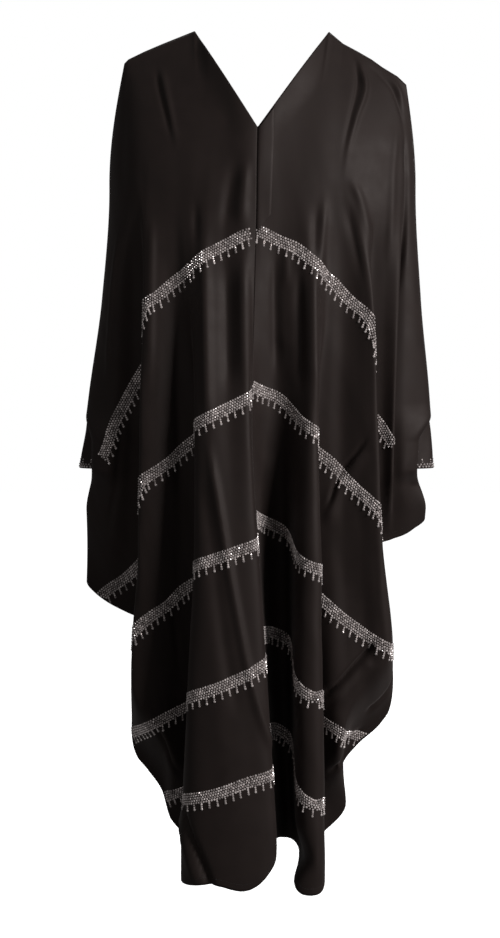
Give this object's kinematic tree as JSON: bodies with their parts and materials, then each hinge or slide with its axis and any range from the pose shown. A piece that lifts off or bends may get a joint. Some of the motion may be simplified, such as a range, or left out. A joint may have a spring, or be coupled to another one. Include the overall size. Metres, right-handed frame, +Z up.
{
  "type": "abaya cloak",
  "caption": "Long loose black abaya cloak with batwing sleeves, a V neck, a closed front and short cuffs, shown worn and hollow in hanging folds.",
  "frame": {"origin": "midway between the two points where the neckline meets the shoulder seams, on the plane of the shoulder and side seams", "axes": "+Z up, -Y the front of the garment, +X the wearer's left"},
  "size_m": [0.584, 0.3285, 1.3825],
  "materials": {
    "cloth": "matte crepe with a soft sheen",
    "trim": "matte",
    "stones": "foil-backed cut stones, silvery"
  },
  "bodies": {
    "root": {"front_right": "cloth", "front_left": "cloth", "back": "cloth", "placket": "trim", "cuff_right": "cloth", "cuff_left": "cloth"}
  },
  "joints": []
}
